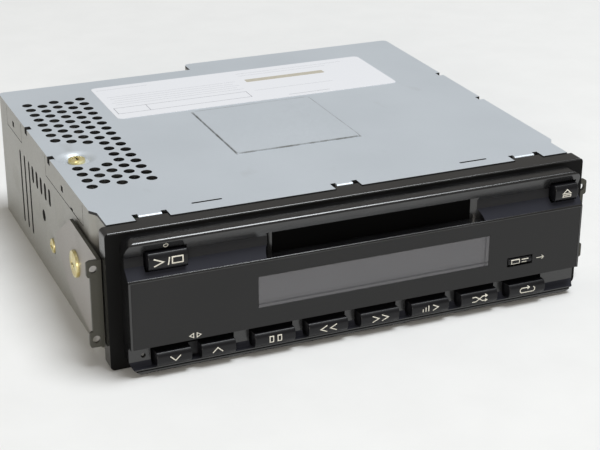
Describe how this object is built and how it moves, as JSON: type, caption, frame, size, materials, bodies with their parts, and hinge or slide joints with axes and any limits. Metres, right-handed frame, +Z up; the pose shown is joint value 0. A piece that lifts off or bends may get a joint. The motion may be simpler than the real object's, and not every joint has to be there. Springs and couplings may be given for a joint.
{
  "type": "car disc player",
  "caption": "Slot-loading car disc player: steel case, black front with display, keys and disc mouth, side mounting brackets, and a full loading deck inside.",
  "frame": {"origin": "centre of the footprint on the plane that the case floor stands on", "axes": "+Z up, -Y to the front with the disc mouth and keys, +X to the right seen from the front"},
  "size_m": [0.19, 0.1796, 0.0504],
  "materials": {
    "zinc_steel": "satin zinc plating",
    "label_paper": "matte coated label",
    "black_plastic": "satin moulded",
    "face_plate": "matte printed",
    "clear_window": "clear, lightly smoked",
    "display_glass": "grey display glass",
    "white_plastic": "satin",
    "circuit_board": "solder mask",
    "plain_steel": "bright",
    "switch_plastic": "matte",
    "key_plastic": "satin",
    "bracket_steel": "olive grey passivated",
    "gold_screw": "yellow passivated",
    "deck_steel": "satin",
    "damper_rubber": "matte",
    "gear_plastic": "satin",
    "pickup_plastic": "matte",
    "lens_glass": "polished",
    "capacitor_sleeve": "gloss sleeve",
    "sink_aluminium": "extruded",
    "ribbon_film": "film",
    "jack_brass": "plated"
  },
  "bodies": {
    "case": {"chassis": "zinc_steel", "top_cover": "zinc_steel", "rating_label": "label_paper", "front_frame": "black_plastic", "display_plate": "face_plate", "display_window": "clear_window", "lcd_glass": "display_glass", "lcd_holder": "white_plastic", "key_board": "circuit_board", "key_board_screws": "plain_steel", "key_switches": "switch_plastic", "left_bracket": "bracket_steel", "right_bracket": "bracket_steel", "bracket_screws": "gold_screw", "cover_screw": "gold_screw", "side_screws": "gold_screw", "frame_screws": "gold_screw", "deck_frame": "deck_steel", "damper_posts": "plain_steel", "dampers": "damper_rubber", "damper_screws": "plain_steel", "loading_motor": "deck_steel", "gear_pin": "plain_steel", "spindle_motor": "deck_steel", "guide_rods": "plain_steel", "feed_motor": "deck_steel", "main_board": "circuit_board", "board_screws": "plain_steel", "board_chips": "switch_plastic", "capacitors": "capacitor_sleeve", "heat_sink": "sink_aluminium", "regulators": "switch_plastic", "front_ribbon": "ribbon_film", "deck_ribbon": "ribbon_film", "harness_socket": "switch_plastic", "audio_jacks": "jack_brass", "rear_stud": "plain_steel"},
    "power_key": {"power_key": "key_plastic"},
    "eject_key": {"eject_key": "key_plastic"},
    "display_key": {"display_key": "key_plastic"},
    "pause_key": {"pause_key": "key_plastic"},
    "rewind_key": {"rewind_key": "key_plastic"},
    "forward_key": {"forward_key": "key_plastic"},
    "scan_key": {"scan_key": "key_plastic"},
    "random_key": {"random_key": "key_plastic"},
    "repeat_key": {"repeat_key": "key_plastic"},
    "track_rocker": {"track_rocker": "key_plastic"},
    "reset_plunger": {"reset_plunger": "switch_plastic"},
    "slot_flap": {"slot_flap": "black_plastic"},
    "cam_slide": {"cam_slide": "deck_steel"},
    "cartridge_holder": {"cartridge_holder": "deck_steel"},
    "eject_slider": {"eject_slider": "gear_plastic"},
    "loading_gear": {"loading_gear": "gear_plastic"},
    "motor_pinion": {"motor_pinion": "gear_plastic"},
    "turntable": {"turntable": "deck_steel"},
    "pickup": {"pickup_sled": "pickup_plastic", "objective_lens": "lens_glass"},
    "feed_screw": {"feed_screw": "plain_steel"}
  },
  "joints": [
    {"name": "power_key_press", "type": "slide", "parent": "case", "child": "power_key", "axis": [0, 1, 0], "range_m": [0, 0.0005], "stiffness_N_per_m": 600},
    {"name": "eject_key_press", "type": "slide", "parent": "case", "child": "eject_key", "axis": [0, 1, 0], "range_m": [0, 0.0005], "stiffness_N_per_m": 600},
    {"name": "display_key_press", "type": "slide", "parent": "case", "child": "display_key", "axis": [0, 1, 0], "range_m": [0, 0.0005], "stiffness_N_per_m": 600},
    {"name": "pause_key_press", "type": "slide", "parent": "case", "child": "pause_key", "axis": [0, 1, 0], "range_m": [0, 0.0005], "stiffness_N_per_m": 600},
    {"name": "rewind_key_press", "type": "slide", "parent": "case", "child": "rewind_key", "axis": [0, 1, 0], "range_m": [0, 0.0005], "stiffness_N_per_m": 600},
    {"name": "forward_key_press", "type": "slide", "parent": "case", "child": "forward_key", "axis": [0, 1, 0], "range_m": [0, 0.0005], "stiffness_N_per_m": 600},
    {"name": "scan_key_press", "type": "slide", "parent": "case", "child": "scan_key", "axis": [0, 1, 0], "range_m": [0, 0.0005], "stiffness_N_per_m": 600},
    {"name": "random_key_press", "type": "slide", "parent": "case", "child": "random_key", "axis": [0, 1, 0], "range_m": [0, 0.0005], "stiffness_N_per_m": 600},
    {"name": "repeat_key_press", "type": "slide", "parent": "case", "child": "repeat_key", "axis": [0, 1, 0], "range_m": [0, 0.0005], "stiffness_N_per_m": 600},
    {"name": "reset_press", "type": "slide", "parent": "case", "child": "reset_plunger", "axis": [0, 1, 0], "range_m": [0, 0.0004], "stiffness_N_per_m": 300},
    {"name": "track_tip", "type": "hinge", "parent": "case", "child": "track_rocker", "pos_m": [-0.0628, -0.082, 0.00605], "axis": [0, 0, 1], "range_deg": [-2.5, 2.5], "stiffness_Nm_per_rad": 0.05},
    {"name": "flap_swing", "type": "hinge", "parent": "case", "child": "slot_flap", "pos_m": [0.004, -0.0832, 0.044], "axis": [1, 0, 0], "range_deg": [0, 90], "stiffness_Nm_per_rad": 0.001},
    {"name": "cam_travel", "type": "slide", "parent": "case", "child": "cam_slide", "axis": [0, 1, 0], "range_m": [0, 0.012]},
    {"name": "holder_lower", "type": "slide", "parent": "case", "child": "cartridge_holder", "axis": [0, 0, 1], "range_m": [-0.005, 0]},
    {"name": "ejector_run", "type": "slide", "parent": "cartridge_holder", "child": "eject_slider", "axis": [0, 1, 0], "range_m": [0, 0.04], "stiffness_N_per_m": 15},
    {"name": "loading_gear_spin", "type": "hinge", "parent": "case", "child": "loading_gear", "pos_m": [-0.0468, -0.0072, 0.0322], "axis": [0, 0, 1], "range_deg": [0, 127.33]},
    {"name": "motor_pinion_spin", "type": "hinge", "parent": "case", "child": "motor_pinion", "pos_m": [-0.0468, 0.0063, 0.0302], "axis": [0, 0, 1], "range_deg": [-254.66, 0]},
    {"name": "turntable_spin", "type": "hinge", "parent": "case", "child": "turntable", "pos_m": [0.004, -0.0312, 0.0312], "axis": [0, 0, 1], "continuous": true},
    {"name": "pickup_feed", "type": "slide", "parent": "case", "child": "pickup", "axis": [1, 0, 0], "range_m": [0, 0.0165]},
    {"name": "feed_screw_spin", "type": "hinge", "parent": "case", "child": "feed_screw", "pos_m": [0.029, -0.0102, 0.0222], "axis": [1, 0, 0], "range_deg": [0, 2970.1]}
  ],
  "couplings": [
    {"joint": "holder_lower", "follows": "cam_travel", "ratio": -0.41667},
    {"joint": "loading_gear_spin", "follows": "cam_travel", "rad_per_m": 185.19},
    {"joint": "motor_pinion_spin", "follows": "cam_travel", "rad_per_m": -370.37},
    {"joint": "feed_screw_spin", "follows": "pickup_feed", "rad_per_m": 3141.6}
  ]
}
